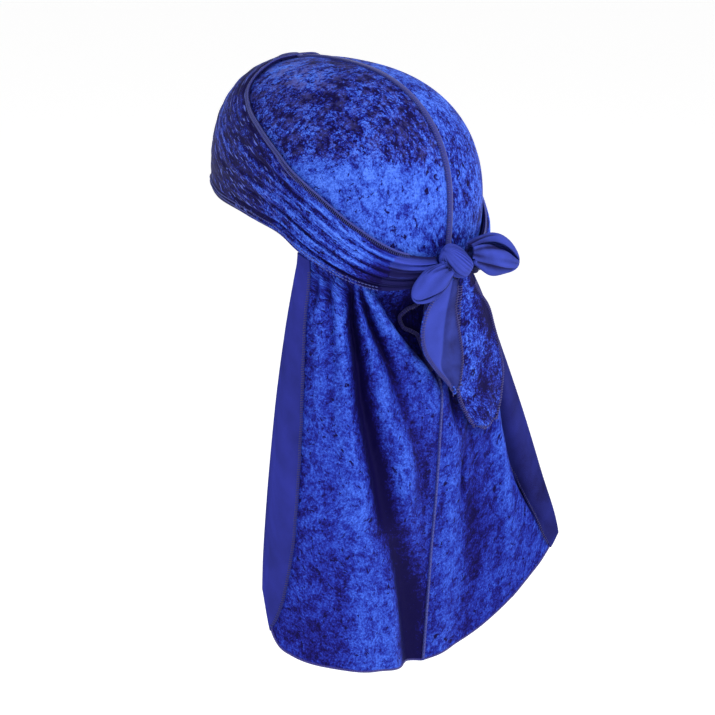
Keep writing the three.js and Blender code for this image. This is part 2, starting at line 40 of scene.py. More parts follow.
# ---------- sizes and tables
CLOTH = 1.2  # wall of one layer of velvet
GAP = 0.3
SEAM_HALF = 0.35  # half the gap between the two panels under their seam
TUCK = 1.6  # clear height between the band and the panel tucked under it
SEWN_DEPTH = 0.8  # how far the band's upper edge is drawn down to the panel
HALF_WIDTH, HALF_LENGTH, HALF_HEIGHT = 62, 97, 84  # of the head
TILT, FULLNESS, POWER = 3, 0.17, 2.4  # the head leans back, is fuller behind, and is not round
CAPE_HALF = 118  # width of the cloth of one half of the cape
SEAM_BLEND = 0.09  # share of it over which the folds of the two halves meet
TOP_DROP = (122, 100)  # where the cape starts, at the seam and at the side edge
LEAVES_HEAD, LEAVING = (130, 105), 20  # where it leaves the head, and over how much height
BACK_REACH, SIDE_REACH = 0.5, 0.42  # how long the cape keeps its heading at the seam and edge

CROWN_ROWS = [  # over, around, rise: degrees
    (65, 22, 60.5),
    (71, 34, 52),
    (80, 47, 45.5),
    (92, 63, 41),
    (105, 81, 35.5),
    (118, 97, 28.5),
    (132, 108, 20.5),
    (146, 114, 13),
    (160, 116, 5.5),
    (172, 116.5, -1),
    (184, 116.5, -6),
    (196, 116.5, -10),
]
BAND_ROWS = [  # upper around, upper rise, lower around, lower rise, roll
    (0.2, 67, 0.2, -1, 1.5),
    (24, 63, 12, -1, 1.5),
    (41, 50.5, 24, -1.5, 1.5),
    (57, 45.5, 40, -4.5, 1.2),
    (78, 40, 62, -6.5, 0.8),
    (98, 31, 84, -9, 0.5),
    (113, 20, 104, -11.5, 0.3),
    (128, 9.5, 118, -17.5, 0.8),
    (142, -1.5, 134, -22.5, 1.5),
    (155, -9.5, 149, -25.5, 2.5),
    (166, -12.5, 161, -24.5, 3.5),
    (176, -13.5, 174.5, -21, 4),
]
TIE_END = {1: 0.965, -1: 1.0}  # how far along its rows each band runs, as a share
CAPE_ROWS = [  # drop, back, then x, y and heading of each side edge, left and right
    (100, 95, 64.5, 33, -72, 64.5, 33, -72),
    (120, 91, 67, 33, -75, 65, 40, -65),
    (150, 85, 73, 32, -80, 68, 58, -40),
    (190, 91, 81, 32, -80, 73, 75, -15),
    (230, 90, 87, 32, -80, 82, 86, 0),
    (270, 87, 92, 32, -78, 90, 96, 10),
    (310, 83, 95.5, 32, -75, 97, 106, 15),
    (382, 79, 99, 34, -70, 100, 112, 20),
]
HEM_ROWS = [  # across, left drop, right drop
    (0, 384, 384),
    (0.3, 378, 375),
    (0.6, 371, 357),
    (0.85, 362, 333),
    (0.95, 350, 320),
    (1, 320, 312),
]
SIDE_HEM_ROWS = [  # drop, width
    (100, 7),
    (120, 12),
    (150, 16),
    (200, 20),
    (250, 20),
    (285, 15),
    (318, 5),
]
# Each fold of the cape: drop, place as a share of the half cape, half width, and how far it
# stands out. The first and last rows end it.
LEFT_FOLDS = {
    "ridge_a": [(112, 0.865, 5, 0), (125, 0.845, 5, 3), (154, 0.79, 6, 3.5), (196, 0.74, 9, 3),
                (260, 0.72, 12, 2), (340, 0.72, 14, 1)],
    "shadow_ab": [(115, 0.80, 3.5, 0), (124, 0.79, 4, -4), (145, 0.72, 4, -4),
                  (180, 0.69, 6, -2.5), (230, 0.67, 8, -0.5)],
    "ridge_b": [(116, 0.73, 6, 0), (126, 0.725, 7, 4), (168, 0.64, 8, 5), (208, 0.60, 9, 5),
                (260, 0.50, 11, 5), (320, 0.42, 14, 4), (400, 0.38, 16, 4)],
    "groove_1": [(118, 0.64, 3, 0), (128, 0.633, 3.5, -7), (161, 0.55, 4.5, -10),
                 (195, 0.50, 6, -10), (221, 0.425, 7, -9.5), (273, 0.283, 9, -9),
                 (330, 0.13, 10, -8), (400, 0.03, 9, -6)],
    "ridge_c": [(118, 0.60, 4, 0), (127, 0.60, 4, 2), (147, 0.508, 4, 3), (178, 0.417, 5, 3),
                (200, 0.375, 6, 3), (240, 0.25, 7, 3), (300, 0.14, 8, 2), (340, 0.1, 8, 0)],
    "groove_2": [(118, 0.575, 2.5, 0), (130, 0.558, 3, -6), (148, 0.458, 3.5, -7.5),
                 (170, 0.35, 3.5, -6.5), (188, 0.29, 4, -5), (226, 0.158, 5, -3),
                 (254, 0.092, 5, -2), (290, 0.05, 6, 0)],
    "ridge_d": [(118, 0.54, 4, 0), (128, 0.533, 4, 4), (148, 0.367, 5, 5), (169, 0.225, 6, 5),
                (180, 0.12, 6, 4), (200, 0.05, 6, 2), (230, 0.03, 6, 0)],
    "notch": [(112, 0.87, 3, 0), (125, 0.86, 3, -4), (132, 0.85, 3, -5), (143, 0.84, 3, 0)],
    "low_ridge": [(190, 0.25, 8, 0), (240, 0.2, 8, 3), (300, 0.25, 9, 4), (400, 0.2, 9, 4)],
}
RIGHT_FOLDS = {
    "under_bow": [(124, 0.5, 6, 0), (150, 0.44, 6.5, -5), (200, 0.36, 7, -5), (250, 0.3, 8, 0)],
    "crease": [(238, 0.26, 3, 0), (256, 0.225, 3, -3), (268, 0.225, 3, -3), (284, 0.22, 3, 0)],
    "soft": [(150, 0.7, 9, 0), (200, 0.68, 9, 3), (280, 0.66, 9, 4), (350, 0.6, 9, 1)],
    "side_shadow": [(140, 0.84, 4, 0), (175, 0.815, 5, -7), (218, 0.815, 5, -9),
                    (260, 0.825, 5, -9), (288, 0.865, 4, -6), (310, 0.93, 3, 0)],
    "behind_tails": [(150, 0.06, 5, 0), (175, 0.10, 6, -4), (210, 0.15, 7, -6), (232, 0.17, 6, 0)],
    "near_seam": [(190, 0.12, 9, 0), (240, 0.11, 9, 3), (400, 0.1, 10, 2)],
    "valley": [(230, 0.35, 9, 0), (300, 0.34, 9, -3), (370, 0.32, 9, 0)],
}
CROWN_CREASES = {  # start along, start across, end along, end across, half width, depth
    1: [(0.60, 0.54, 0.75, 0.47, 1.1, -1.2), (0.61, 0.55, 0.76, 0.48, 1.3, 1.0),
        (0.72, 0.66, 0.82, 0.645, 1.2, 1.1), (0.40, 0.55, 0.47, 0.40, 2.0, 0.8)],
    -1: [(0.60, 0.50, 0.75, 0.40, 1.5, 1.0), (0.45, 0.35, 0.58, 0.52, 2.0, 0.8)],
}
# The edge that curls up in the hollow under the knot: step, drop, place as a share of the half
# cape.
CURL = [(0, 134, 0.05), (1, 142, 0.08), (2, 144.5, 0.155), (3, 147.5, 0.20), (4, 152, 0.203),
        (5, 156, 0.18), (6, 159, 0.12), (7, 162, 0.08), (8, 167, 0.068), (9, 174, 0.06),
        (10, 184, 0.05)]
# That hollow: drop, place of its outer lip, depth.
NAPE_LEFT = [(118, 0.52, 0), (128, 0.49, 5), (136, 0.44, 8), (153, 0.308, 9), (171, 0.175, 7),
             (188, 0.067, 4), (200, 0.02, 0)]
NAPE_RIGHT = [(118, 0.5, 0), (130, 0.4, 5), (150, 0.3, 6), (175, 0.15, 4), (200, 0.02, 0)]

FOLDS = {1: LEFT_FOLDS, -1: RIGHT_FOLDS}
NAPE = {1: NAPE_LEFT, -1: NAPE_RIGHT}
NAPE_LIP = {1: 0.05, -1: 0.12}  # how softly the hollow starts, as a share of the half cape
# Small uneven creases: pitch, height and phase.
FAN_WAVES = [(1.0, 1.0, 0.1), (0.61, 0.6, 0.4), (0.37, 0.4, 0.8)]
SLOW_WAVES = [(1.0, 0.25, 0.3), (0.43, 0.15, 0.6)]
BAND_FINE = [(0.125, 0.35, 0.2), (0.071, 0.25, 0.5), (0.041, 0.14, 0.1)]
BAND_FAINT = [(0.11, 0.16, 0.7), (0.05, 0.1, 0.3)]


# ---------- helpers
def track(rows, column):
    """A smooth curve through one column of a table, read at any value of its first column."""
    table = np.array(rows, float)
    k, y = table[:, 0], table[:, column]
    slope = np.empty_like(y)
    slope[1:-1] = (y[2:] - y[:-2]) / (k[2:] - k[:-2])
    slope[0] = (y[1] - y[0]) / (k[1] - k[0])
    slope[-1] = (y[-1] - y[-2]) / (k[-1] - k[-2])

    def read(at):
        at = np.clip(np.asarray(at, float), k[0], k[-1])
        i = np.clip(np.searchsorted(k, at, side="right") - 1, 0, len(k) - 2)
        span = k[i + 1] - k[i]
        t = (at - k[i]) / span
        bends = t * (1 - t) * span * ((1 - t) * slope[i] - t * slope[i + 1])
        return y[i] + (y[i + 1] - y[i]) * t * t * (3 - 2 * t) + bends

    return read


def tracks(rows, *columns):
    return [track(rows, column) for column in columns]


def by_share(rows):
    """A curve through each column of a table whose rows stand at even shares from 0 to 1."""
    numbered = [(i / (len(rows) - 1), *row) for i, row in enumerate(rows)]
    return tracks(numbered, *range(1, len(numbered[0])))


def within(rows, at):
    """Whether a value lies between the first and the last row of a table."""
    return (at >= rows[0][0]) & (at <= rows[-1][0])


def net(rows, columns, start=0, stop=1):
    """Values down, from start to stop, and across, from 0 to 1, at each point of a grid."""
    down, across = np.linspace(start, stop, rows), np.linspace(0, 1, columns)
    return np.meshgrid(down, across, indexing="ij")


def lerp(a, b, t):
    return a + (b - a) * t


def smooth(at, low, high):
    """0 up to low, 1 from high on and a soft rise between. A low above high turns it round."""
    t = np.clip((np.asarray(at, float) - low) / (high - low), 0, 1)
    return t * t * (3 - 2 * t)


def bell(distance, width):
    return np.exp(-((distance / width) ** 2))


def fading(distance, start, length):
    """1 up to a distance, then less and less."""
    return np.exp(-np.maximum(distance - start, 0) / length)


def apart(turn, place):
    """How far one direction is from another, in degrees."""
    return (turn - place + 180) % 360 - 180


def unit(v):
    return v / np.maximum(np.linalg.norm(v, axis=-1, keepdims=True), 1e-12)


def waves(at, terms):
    """A sum of sines: pitch, height and phase of each."""
    return sum(h * np.sin(2 * np.pi * (at / p + phase)) for p, h, phase in terms)


# ---------- the head under the cloth
def head_radius(d):
    """How far the head's surface is from its centre in a direction."""
    c, s = np.cos(np.radians(TILT)), np.sin(np.radians(TILT))
    along = d[..., 1] * c - d[..., 2] * s
    up = d[..., 1] * s + d[..., 2] * c
    total = (
        np.abs(d[..., 0] / (HALF_WIDTH * (1 + FULLNESS * along))) ** POWER
        + np.abs(along / HALF_LENGTH) ** POWER
        + np.abs(up / HALF_HEIGHT) ** POWER
    )
    return total ** (-1 / POWER)


CENTRE = np.array([0, 0, -float(head_radius(np.array([0.0, 0.0, 1.0])))])


def head_point(d, lift):
    return CENTRE + d * (head_radius(d) + lift)[..., None]


def direction_at(side, around, rise):
    """A direction by its turn from the front and its rise. Side 0 is the middle plane."""
    around, rise = np.radians(around), np.radians(rise)
    level = np.cos(rise)
    return np.stack([side * level * np.sin(around), -level * np.cos(around), np.sin(rise)], -1)


def between(a, b, t):
    """The direction a share of the way from one direction to another."""
    angle = np.arccos(np.clip((a * b).sum(-1), -1, 1))
    first = np.sin((1 - t) * angle) / np.sin(angle)
    second = np.sin(t * angle) / np.sin(angle)
    return a * first[..., None] + b * second[..., None]


# ---------- panels
crown_over, crown_around, crown_rise = by_share(CROWN_ROWS)


def crown_point(side, along, across, lift):
    """A point of the crown. Across runs from the seam to the edge under the band."""
    seam = direction_at(0, 0, crown_over(along))
    edge = direction_at(side, crown_around(along), crown_rise(along))
    return head_point(between(seam, edge, across), lift + 0 * across)


def nape_depth(side, across, drop):
    """How deep the hollow under the knot is."""
    rows = NAPE[side]
    lip, depth = tracks(rows, 1, 2)
    inside = smooth(lip(drop) - across, 0, NAPE_LIP[side])
    return np.where(within(rows, drop), depth(drop) * inside, 0)


def fold_lift(side, across, drop):
    """How far the folds of the cape and the hollow under the knot stand out."""
    lift = np.zeros_like(across)
    for rows in FOLDS[side].values():
        place, width, height = tracks(rows, 1, 2, 3)
        distance = (across - place(drop)) * CAPE_HALF
        lift += np.where(within(rows, drop), height(drop) * bell(distance, width(drop)), 0)
    return lift - nape_depth(side, across, drop)


def fine_lift(side, across, drop):
    """Small soft creases that fan out from the tie."""
    top, fade, height, count = 120, 70, 0.5, 10
    spread = np.maximum(0.55 + (drop - top) / 500, 0.2)
    creases = waves(count * (across - 0.05) / spread, FAN_WAVES)
    slow = waves(drop / 60 + across * 2 + side, SLOW_WAVES)
    inward = np.sin(np.pi * np.clip(across, 0, 1))
    return height * fading(drop, top, fade) * creases + slow * inward


def cloth_lift(side, across, drop):
    """All that lifts the cloth of the cape. The two halves agree along the seam."""
    seam = np.zeros_like(across)
    difference = fold_lift(-side, seam, drop) - fold_lift(side, seam, drop)
    near_seam = np.maximum(1 - across / SEAM_BLEND, 0) ** 2
    free = smooth(across, 0, 0.06) * (1 - 0.95 * smooth(across, 0.78, 0.92))
    return (
        fold_lift(side, across, drop)
        + 0.5 * difference * near_seam
        + fine_lift(side, across, drop) * free
    )


def hem_drop(side, across):
    return track(HEM_ROWS, 1 if side > 0 else 2)(across)


def cape_drop(side, down, across):
    return lerp(lerp(*TOP_DROP, across), hem_drop(side, across), down)


def cape_point(side, across, drop, lift):
    """A point of the hanging cape, on a curve from the seam to the side edge."""
    columns = (1, 2, 3, 4) if side > 0 else (1, 5, 6, 7)
    back, ex, ey, turn = (column(drop) for column in tracks(CAPE_ROWS, *columns))
    turn = np.radians(turn)
    reach = SIDE_REACH * np.hypot(ex, ey - back)
    p = [
        np.stack([0 * back, back], -1),
        np.stack([BACK_REACH * ex, back], -1),
        np.stack([ex - reach * np.cos(turn), ey - reach * np.sin(turn)], -1),
        np.stack([ex, ey], -1),
    ]
    t = across[..., None]
    s = 1 - t
    place = s**3 * p[0] + 3 * s * s * t * p[1] + 3 * s * t * t * p[2] + t**3 * p[3]
    ahead = unit(s * s * (p[1] - p[0]) + 2 * s * t * (p[2] - p[1]) + t * t * (p[3] - p[2]))
    stand = cloth_lift(side, across, drop) + lift
    x = place[..., 0] - ahead[..., 1] * stand
    y = place[..., 1] + ahead[..., 0] * stand
    return np.stack([side * x, y, -drop], -1)


def cape_at(side, down, across, lift):
    """A point of the cape by its shares down and across. At the top it still lies on the head."""
    drop = cape_drop(side, down, across)
    free = cape_point(side, across, drop, lift)
    start = lerp(*LEAVES_HEAD, across**1.5)
    t = smooth(drop - start, 0, LEAVING)[..., None]
    point = head_point(unit(free - CENTRE), lift + 0 * across) * (1 - t) + free * t
    point[..., 0] += side * SEAM_HALF
    return point


def crown_lift(side, along, across):
    """Small creases, and the gathers that run up from the knot."""
    plain = crown_point(side, along, across, CLOTH)
    soften = 1.0  # rounds the bottom of a crease
    lift = np.full(along.shape, float(CLOTH))
    for start, start_across, end, end_across, width, depth in CROWN_CREASES[side]:
        shares = np.array([start, end]), np.array([start_across, end_across])
        ends = crown_point(side, *shares, CLOTH)
        run = ends[1] - ends[0]
        t = np.clip(((plain - ends[0]) @ run) / (run @ run), 0, 1)
        away = plain - ends[0] - t[..., None] * run
        distance = np.linalg.norm(away - soften * unit(plain - CENTRE), axis=-1)
        lift -= depth * bell(distance - soften, width) * np.sin(np.pi * t)
    from_knot = plain - KNOT_CENTRE
    around = np.arctan2(from_knot[..., 0], from_knot[..., 2])
    gather = np.sin(15 * around + 0.6) + 0.6 * np.sin(26 * around + 2)
    near_knot = fading(np.linalg.norm(from_knot, axis=-1), 12, 11)
    return lift + 0.9 * gather * near_knot * smooth(across, 0, 0.05)


def crown_paint(side, crown, lift, across):
    """Painted light on the crown: painted shade over the top of the left crown, with a painted
    greyish sheen and a painted highlight at its crest, the right crown painted lighter toward
    its top, painted shade by the knot and in the creases; and how crushed the pile is.
    """
    rise = unit(crown - CENTRE)[..., 2]
    if side > 0:
        # Painted shade over the top of the left crown, a painted highlight and painted greyish
        # sheen at its crest, and a busier pattern in the shaded top.
        high = smooth(rise + 0.18 * (1 - across) ** 2, 0.37, 0.53)
        crest = smooth(rise, 0.80, 0.95) * smooth(across, 0.2, 0.5)
        tone = 0.115 - 0.335 * high + 0.22 * crest
        painted_sheen = high * (0.25 + 0.75 * crest)
        busy = 0.22 + 0.95 * high
    else:
        # The right crown is painted lighter toward its top.
        tone = 0.10 * smooth(rise, 0.3, 0.8) - 0.04
        painted_sheen = 0 * across
        busy = 0 * across + 0.6
    # Painted shade by the knot and in the creases, and a little painted light on raised gathers.
    tone -= 0.25 * fading(np.linalg.norm(crown - KNOT_CENTRE, axis=-1), 14, 6)
    tone += 0.16 * np.clip(lift - CLOTH, -1.2, 0.6)
    return tone, painted_sheen, busy


def cape_paint(side, across, drop):
    """The same for the cape: painted shade in its folds and in the hollow under the knot, painted
    highlights on its ridges, and the shade term darkens the left lower down and the right high
    near its outer edge.
    """
    # Painted shade in the hollow under the knot.
    hollow = nape_depth(side, across, drop) * (0.52 + 0.36 * smooth(across, 0.20, 0.32))
    fold = fold_lift(side, across, drop) + hollow
    # Painted shade in the grooves of the folds and painted highlights on their ridges.
    tone = np.where(fold < 0, 0.42 * np.maximum(fold / 8, -1), 0.15 * np.minimum(fold / 4, 1))
    if side > 0:
        shade = 0.05 * smooth(drop, 230, 310)
    else:
        shade = 0.06 * smooth(across, 0.55, 1) * smooth(drop, 260, 140)
    return tone - shade - 0.11, 0 * across, 0.35 * smooth(drop, 165, 130) - 0.05


def panel_grid(side):
    """The outer face of a panel, crown and cape, and its painted light, painted sheen and pattern
    contrast.
    """
    crown_rows, cape_rows, columns = 91, 216, 137
    along, across = net(crown_rows, columns)
    lift = crown_lift(side, along, across)
    crown = crown_point(side, along, across, lift)
    crown[..., 0] += side * SEAM_HALF
    on_crown = crown_paint(side, crown, lift, across)
    down, across = net(cape_rows, columns)
    cape = cape_at(side, down, across, CLOTH)
    on_cape = cape_paint(side, across, cape_drop(side, down, across))
    joined = [np.concatenate(both) for both in zip(on_crown, on_cape)]
    return np.concatenate([crown, cape]), dict(zip(("tone", "painted_sheen", "busy"), joined))


# ---------- the band
upper_around, upper_rise, lower_around, lower_rise, band_roll = by_share(BAND_ROWS)


def band_inner_lift(along):
    return CLOTH + TUCK + 2.5 * smooth(along, 0.78, 0.97)


def band_outer_lift(along, across):
    """The pleats run along the band and gather toward the knot."""
    pleats = 5
    gathered = smooth(along, 0.15, 0.6)
    at = across + 0.05 * np.sin(5 * along + 2) + 0.03 * np.sin(13 * along)
    pleat = np.abs(np.sin(np.pi * pleats * at)) ** 0.8
    faint = waves(at + 0.3 * along, BAND_FAINT)
    broken = 0.5 + 0.5 * np.sin(17 * along + 25 * across)
    roll = band_roll(along) * np.sin(np.pi * np.clip(across, 0, 1) ** 0.7)
    height = CLOTH + roll + gathered * (1.7 * pleat + waves(at, BAND_FINE)) + faint * (0.5 + broken)
    edge = smooth(across, 0, 0.03) * smooth(1 - across, 0, 0.02)
    over_corner = bell(along - 0.095, 0.045)  # of the panel, where the band stays clear
    sewn_down = SEWN_DEPTH * (1 - smooth(across, 0, 0.10)) * (1 - over_corner)
    return band_inner_lift(along) + lerp(CLOTH, height, edge) - sewn_down


def band_at(side, along, across, lift):
    """A point of the band by its shares along, from the forehead, and across, from above."""
    along = along * TIE_END[side]
    upper = direction_at(side, upper_around(along), upper_rise(along))
    lower = direction_at(side, lower_around(along), lower_rise(along))
    height = band_outer_lift(along, across) + lift
    return outside_knot(head_point(between(upper, lower, across), height))


def band_paint(side, along, across):
    """The painted light of a band: painted shade in the pleats' grooves, near the strap and on
    the strap's lower half, painted highlights on the crests, darker over the front with a painted
    sheen and glints there; and how much each point belongs to the smooth strap.
    """
    tied = along * TIE_END[side]
    pleat = band_outer_lift(tied, across) - band_inner_lift(tied) - CLOTH
    crest = pleat - pleat.mean(axis=1, keepdims=True)
    front = 1 - smooth(along, 0.34, 0.72)
    near_strap = smooth(along, 0.77, 0.857)
    wander = 0.006 * np.sin(14 * across + 1) + 0.003 * np.sin(37 * across)
    strap = smooth(along - wander, 0.855, 0.86)
    # Painted highlights on the pleats' crests and painted shade in their grooves; darker over the
    # front.
    velvet = 0.20 * np.clip(crest, -1.8, 1.1) - 0.33 * front - 0.07
    # Painted shade on the lower velvet near the strap.
    velvet -= 0.30 * near_strap * smooth(across, 0.15, 0.4)
    # The strap: painted shade over its lower half, and in its pleats' grooves.
    plain = 0.03 - 0.72 * smooth(across, 0.22, 0.34) + 0.17 * crest
    paint = {
        "tone": lerp(velvet, plain, strap),
        # A painted greyish sheen over the front, where the painted glints show too.
        "painted_sheen": 0.08 * front,
        "busy": lerp(0.6 + 0.4 * front, -0.7, near_strap),
    }
    return paint, strap


def band_width(side, along, edge):
    """How wide the band is, measured on the tenth of it next to one edge."""
    inner = band_at(side, along, 0 * along + abs(edge - 0.1), 0)
    return 10 * np.linalg.norm(inner - band_at(side, along, 0 * along + edge, 0), axis=-1)


# ---------- the bow
KNOT_CENTRE = np.array([4.5, 108.5, -110.5])
KNOT_HALF = np.array([9, 8.5, 13.9])
KNOT_CLEAR = 1.6  # how far the cloth that leads to the knot stays off it
KNOT_LEAN = np.radians(53)
COS, SIN = np.cos(KNOT_LEAN), np.sin(KNOT_LEAN)
LEAN = np.array([[COS, 0, SIN], [0, 1, 0], [-SIN, 0, COS]])


def outside_knot(points):
    """Points that fall inside the knot, moved out to just off its surface."""
    local = (points - KNOT_CENTRE) @ LEAN
    depth = np.linalg.norm(local / (KNOT_HALF + KNOT_CLEAR), axis=-1, keepdims=True)
    moved = (local / np.maximum(depth, 1e-6)) @ LEAN.T + KNOT_CENTRE
    return np.where(depth < 1, moved, points)


KNOT_CREASES = [  # place round the knot in degrees, depth as a share, width in degrees
    (152, 0.12, 4), (138, 0.15, 3.6), (125, 0.15, 3.4), (112, 0.13, 3.2), (99, 0.10, 3),
    (83, 0.05, 3.5), (60, 0.04, 5), (36, 0.13, 4.5), (20, 0.15, 4), (4, 0.12, 4),
    (175, 0.10, 5), (215, 0.08, 6), (255, 0.06, 6), (290, 0.08, 6), (325, 0.10, 5),
]
LOOPS = {  # x, y, z, half height, half depth, direction of the open side, half its opening
    1: [
        (11, 110.2, -115.5, 5.2, 2.8, 310, 5),
        (15, 110, -117.5, 8.4, 3.8, 312, 6),
        (20, 109.6, -119.5, 10.6, 4.4, 316, 7),
        (26, 107.6, -121.8, 11.2, 4.8, 318, 8),
        (30.5, 105.4, -124.2, 9.6, 4.4, 316, 7),
        (34, 102.8, -126.8, 6.0, 3.1, 308, 5),
        (36, 101.6, -128.4, 0.5, 0.4, 300, 2),
    ],
    -1: [
        (-5.5, 110, -106, 5.5, 4.0, 40, 2),
        (-12, 110.3, -106.8, 8.8, 5.4, 40, 5),
        (-20, 110.6, -108, 11.2, 6.4, 36, 8),
        (-27, 111, -109.5, 12.2, 7, 28, 10),
        (-35, 110.6, -112, 11.8, 7, 18, 10),
        (-42, 110.4, -115, 9.6, 5.8, 8, 9),
        (-48, 110.2, -118, 5.2, 3.4, 2, 6),
        (-50.2, 110, -119.4, 0.5, 0.4, 0, 3),
    ],
}
LOOP_CREASES = {  # turn and half width in degrees, depth as a share, start and end along
    1: [(50, 6, 0.13, 0, 0.52), (68, 5, 0.14, 0, 0.60), (84, 5, 0.13, 0, 0.66),
        (100, 6, 0.12, 0, 0.70), (28, 6, 0.07, 0, 0.30), (345, 8, 0.05, 0, 0.25)],
    -1: [(20, 8, 0.15, 0.05, 0.50), (338, 7, 0.07, 0.40, 0.92), (304, 9, 0.18, 0.08, 0.75),
         (75, 8, 0.12, 0, 0.40), (100, 8, 0.10, 0, 0.30)],
}
TAILS = {  # z, then x and y of the left edge, the crease and the right edge
    1: [
        (-119.5, 9, 105.4, 5, 106.8, 0, 104.8),
        (-132, 22.5, 104.5, 8.5, 107, -2, 103.5),
        (-142, 28, 103.5, 11, 106.5, -1.5, 102.5),
        (-154, 29.5, 102.5, 12.5, 105.5, -5, 101.5),
        (-166, 26, 101.5, 12.5, 104.5, -9, 100.5),
        (-178, 17.5, 101.5, 12, 103.5, -11.5, 99.5),
        (-190, 5, 100.5, 1, 101, -11, 98.5),
        (-199, -4, 98.5, -6, 98.5, -9, 98),
    ],
    -1: [
        (-119, -3, 104, -6.5, 106.5, -11, 104.5),
        (-134, -5, 100.5, -14, 103, -24, 100),
        (-147, -6, 99, -20, 101.5, -36, 98),
        (-161, -7, 97.5, -25, 100, -43, 96.5),
        (-175, -8, 96.5, -29, 99, -49, 95.5),
        (-192, -9, 95.5, -32, 97.5, -55, 94),
        (-206, -13, 94.5, -34, 96, -56, 92.5),
        (-220, -22, 93.5, -37, 95, -54.5, 91.5),
        (-231, -31, 92.5, -40, 93.5, -49.5, 91.5),
    ],
}

# ---------- meshes
def make_object(name, points, faces, materials, uv=None, paint=None, finish=None):
    """A smooth mesh from points in millimetres. Paint: its points' values by name."""
    mesh = bpy.data.meshes.new(name)
    mesh.from_pydata(points * MM, [], faces, shade_flat=False)
    if uv is not None:
        layer = mesh.uv_layers.new(name="UVMap")
        layer.data.foreach_set("uv", uv[faces.ravel()].ravel().astype(np.float32))
    for key, value in (paint or {}).items():
        values = (np.ones(len(points)) * np.ravel(value)).astype(np.float32)
        mesh.attributes.new(key, "FLOAT", "POINT").data.foreach_set("value", values)
    mesh.validate()
    obj = bpy.data.objects.new(name, mesh)
    bpy.context.scene.collection.objects.link(obj)
    for material in materials:
        mesh.materials.append(material)
    if finish is not None:
        mesh.polygons.foreach_set("material_index", finish.ravel().astype(np.int32))
    return obj


def lengths(line):
    """How far each point of a line is along it."""
    steps = np.linalg.norm(np.diff(line, axis=0), axis=-1)
    return np.concatenate([[0], np.cumsum(steps)])


def arc_uv(grid):
    """Lengths along and across a grid of points, in metres."""
    down = np.linalg.norm(np.diff(grid, axis=0), axis=-1)
    over = np.linalg.norm(np.diff(grid, axis=1), axis=-1)
    uv = np.zeros((*grid.shape[:2], 2))
    uv[1:, :, 0] = np.cumsum(down.mean(axis=1))[:, None]
    uv[:, 1:, 1] = np.cumsum(over, axis=1)
    return uv * MM


def grid_faces(rows, columns, closed=0):
    """The faces between points in rows, where closed is 1 if each row runs round a tube."""
    i, j = np.meshgrid(np.arange(rows - 1), np.arange(columns - 1 + closed), indexing="ij")
    a, b = (i * columns + j).ravel(), (i * columns + (j + 1) % columns).ravel()
    return np.stack([a, a + columns, b + columns, b], -1)


def sheet_object(name, grid, materials, flip, paint=None, finish=None, wall=CLOTH):
    """A sheet of cloth from its outer face; its wall goes inward and takes the next material."""
    rows, columns = grid.shape[:2]
    faces = grid_faces(rows, columns)
    faces = faces[:, ::-1] if flip else faces
    uv = arc_uv(grid).reshape(-1, 2)
    obj = make_object(name, grid.reshape(-1, 3), faces, materials, uv, paint, finish)
    if wall:
        solid = obj.modifiers.new("wall", "SOLIDIFY")
        solid.thickness = wall * MM
        solid.offset = -1
        solid.material_offset = solid.material_offset_rim = min(len(materials) - 1, 1)
        solid.use_even_offset = False
    return obj


def close_up(mesh):
    """Joins the two sides of a rolled grid and fills its round ends."""
    work = bmesh.new()
    work.from_mesh(mesh)
    bmesh.ops.remove_doubles(work, verts=work.verts, dist=1e-6)
    bmesh.ops.holes_fill(work, edges=[e for e in work.edges if e.is_boundary])
    for face in work.faces:
        face.smooth = True
    work.to_mesh(mesh)
    work.free()


def cloth_normal(grid, flip):
    """Which way is out at each point of a grid."""
    down, over = np.gradient(grid, axis=0), np.gradient(grid, axis=1)
    out = unit(np.cross(down, over))
    return -out if flip else out


def heading(line):
    return unit(np.gradient(line, axis=0))


def side_of(line, outward):
    """Which way is across a line, in the surface it lies on."""
    return unit(np.cross(heading(line), outward))


def even(line, outward, pitch, aside, lift):
    """Points at an even pitch on a line, moved aside and out, and the way out at each."""
    line = line + side_of(line, outward) * aside + outward * lift
    at = lengths(line)
    where = np.arange(pitch / 2, at[-1], pitch)

    def read(values):
        return np.stack([np.interp(where, at, values[:, c]) for c in range(3)], -1)

    return read(line), read(outward)


def running(line, outward, pitch, fill, aside=0.0, lift=0.0):
    """Lays stitches one after another along a line."""
    at, out = even(line, outward, pitch, aside, lift)
    ahead = heading(at) * pitch * fill / 2
    threads["run"].append((at - ahead, at + ahead, out))


def crossing(key, line, outward, pitch, half, slant, aside=0.0, lift=0.0):
    """Lays threads across a line, side by side."""
    at, out = even(line, outward, pitch, aside, lift)
    reach = side_of(at, out) * half + heading(at) * slant
    threads[key].append((at - reach, at + reach, out))


def round_turns(sides):
    """The sine and cosine of even turns round a tube, each ready to scale a direction."""
    turn = np.linspace(0, 2 * np.pi, sides, endpoint=False)[None, :, None]
    return np.sin(turn), np.cos(turn)


def finish_piece(obj, slot, *replaces):
    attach(obj, "root")
    if replaces:
        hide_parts(*replaces)


def add_tube(name, line, outward, half, height, material, sides, *replaces, lift=0.0):
    """A flattened tube along a line: half its width, and its height off the cloth."""
    girth = 0.01  # metres of pattern round the tube
    ahead = heading(line)
    outward = unit(outward - (outward * ahead).sum(-1, keepdims=True) * ahead)
    aside = np.cross(ahead, outward)
    sine, cosine = round_turns(sides)
    wide, high = (aside.T * half).T[:, None], (outward.T * height).T[:, None]
    ring = (line + outward * lift)[:, None] + wide * cosine + high * sine
    u = np.repeat(lengths(line) * MM, sides)
    v = np.tile(np.arange(sides) / sides * girth, len(line))
    faces, uv = grid_faces(len(line), sides, 1), np.stack([u, v], -1)
    finish_piece(make_object(name, ring.reshape(-1, 3), faces, [material], uv), "thread", *replaces)


